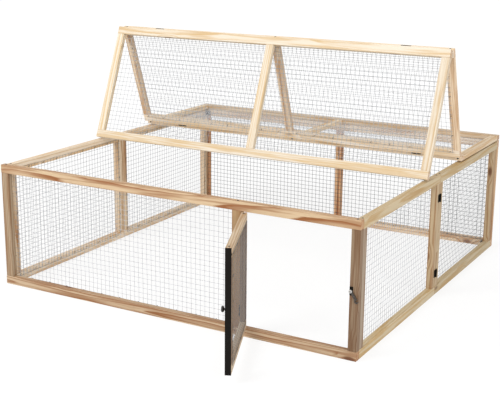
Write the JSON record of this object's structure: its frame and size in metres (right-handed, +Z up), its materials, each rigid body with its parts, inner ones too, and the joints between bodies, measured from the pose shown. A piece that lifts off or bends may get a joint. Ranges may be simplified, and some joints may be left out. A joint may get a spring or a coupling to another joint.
{
  "type": "outdoor rabbit run",
  "caption": "Folding outdoor rabbit run of netted wooden frames, with an open side-hung door and a three-part lid raised like a tent.",
  "frame": {"origin": "on the ground, in the middle of the underside of the front wall's bottom rail", "axes": "+X to the right and +Y to the back as seen from in front of the door, +Z up"},
  "size_m": [1.5118, 1.8631, 0.9437],
  "materials": {
    "timber": "planed softwood with a thin brown stain",
    "netting": "dull zinc",
    "netting_sheet": null,
    "hinge_metal": "black, satin",
    "black_metal": "black, satin",
    "black_plastic": "matte",
    "screw_steel": "zinc plated",
    "hook_steel": "zinc plated"
  },
  "bodies": {
    "rear_wall": {"rear_rails": "timber", "rear_stiles": "timber", "rear_net": "netting_sheet", "rear_left_hinges_on_wall": "hinge_metal", "rear_right_hinges_on_wall": "hinge_metal", "lid_hinges_on_wall": "hinge_metal"},
    "left_rear_side": {"left_rear_rails": "timber", "left_rear_stiles": "timber", "left_rear_net": "netting_sheet", "rear_left_hinges_on_side": "hinge_metal", "middle_left_hinges_on_rear": "hinge_metal"},
    "left_front_side": {"left_front_rails": "timber", "left_front_stiles": "timber", "left_front_net": "netting_sheet", "middle_left_hinges_on_front": "hinge_metal", "front_left_hinges_on_side": "hinge_metal"},
    "front_wall": {"front_top_rail": "timber", "front_bottom_rail": "timber", "front_left_stile": "timber", "front_door_post": "timber", "front_right_stile": "timber", "front_net": "netting", "front_screws": "screw_steel", "door_hinges_on_post": "hinge_metal", "latch_plate": "black_metal", "front_left_hinges_on_wall": "hinge_metal", "front_right_hinges_on_wall": "hinge_metal"},
    "right_rear_side": {"right_rear_rails": "timber", "right_rear_stiles": "timber", "right_rear_net": "netting_sheet", "rear_right_hinges_on_side": "hinge_metal", "middle_right_hinges_on_rear": "hinge_metal"},
    "right_front_side": {"right_front_rails": "timber", "right_front_stiles": "timber", "right_front_net": "netting_sheet", "middle_right_hinges_on_front": "hinge_metal", "front_right_hinges_on_side": "hinge_metal"},
    "door": {"door_rails": "timber", "door_stiles": "timber", "door_edge_strip": "black_metal", "door_net": "netting", "door_knob": "black_plastic", "door_hinges_on_door": "hinge_metal"},
    "hook": {"latch_hook": "hook_steel"},
    "lid_rear": {"lid_rear_rails": "timber", "lid_rear_stiles": "timber", "lid_rear_net": "netting_sheet", "lid_hinges_on_rear": "hinge_metal", "valley_hinges_on_rear": "hinge_metal"},
    "lid_middle": {"lid_middle_rails": "timber", "lid_middle_stiles": "timber", "lid_middle_net": "netting_sheet", "lid_middle_screws": "screw_steel", "valley_hinges_on_middle": "hinge_metal", "ridge_hinges_on_middle": "hinge_metal"},
    "lid_front": {"lid_front_rails": "timber", "lid_front_stiles": "timber", "lid_front_net": "netting_sheet", "lid_front_screws": "screw_steel", "ridge_hinges_on_front": "hinge_metal"}
  },
  "joints": [
    {"name": "left_rear_fold", "type": "hinge", "parent": "rear_wall", "child": "left_rear_side", "pos_m": [-0.722, 1.4455, 0], "axis": [0, 0, 1], "range_deg": [0, 90]},
    {"name": "left_middle_fold", "type": "hinge", "parent": "left_rear_side", "child": "left_front_side", "pos_m": [-0.753, 0.7305, 0], "axis": [0, 0, 1], "range_deg": [-180, 0]},
    {"name": "left_front_fold", "type": "hinge", "parent": "left_front_side", "child": "front_wall", "pos_m": [-0.722, 0.0155, 0], "axis": [0, 0, 1], "range_deg": [0, 90]},
    {"name": "right_rear_fold", "type": "hinge", "parent": "rear_wall", "child": "right_rear_side", "pos_m": [0.722, 1.4455, 0], "axis": [0, 0, 1], "range_deg": [-90, 0]},
    {"name": "right_middle_fold", "type": "hinge", "parent": "right_rear_side", "child": "right_front_side", "pos_m": [0.753, 0.7305, 0], "axis": [0, 0, 1], "range_deg": [0, 180]},
    {"name": "door_swing", "type": "hinge", "parent": "front_wall", "child": "door", "pos_m": [0.3126, -0.014, 0], "axis": [0, 0, 1], "range_deg": [-98, 67]},
    {"name": "hook_turn", "type": "hinge", "parent": "front_wall", "child": "hook", "pos_m": [0.7245, -0.0125, 0.241], "axis": [0, -1, 0], "range_deg": [0, 237]},
    {"name": "lid_rear_lift", "type": "hinge", "parent": "rear_wall", "child": "lid_rear", "pos_m": [0, 1.4765, 0.4815], "axis": [-1, 0, 0], "range_deg": [0, 95]},
    {"name": "lid_middle_lift", "type": "hinge", "parent": "lid_rear", "child": "lid_middle", "pos_m": [0, 0.9655, 0.506], "axis": [-1, 0, 0], "range_deg": [-70.49, 18]},
    {"name": "lid_front_drop", "type": "hinge", "parent": "lid_middle", "child": "lid_front", "pos_m": [0, 0.78539, 0.93657], "axis": [1, 0, 0], "range_deg": [-138.5, 36]}
  ],
  "couplings": [
    {"joint": "left_middle_fold", "follows": "left_rear_fold", "ratio": -2},
    {"joint": "left_front_fold", "follows": "left_rear_fold", "ratio": 1},
    {"joint": "right_rear_fold", "follows": "left_rear_fold", "ratio": -1},
    {"joint": "right_middle_fold", "follows": "left_rear_fold", "ratio": 2},
    {"joint": "lid_front_drop", "follows": "lid_middle_lift", "ratio": 1.9647}
  ]
}
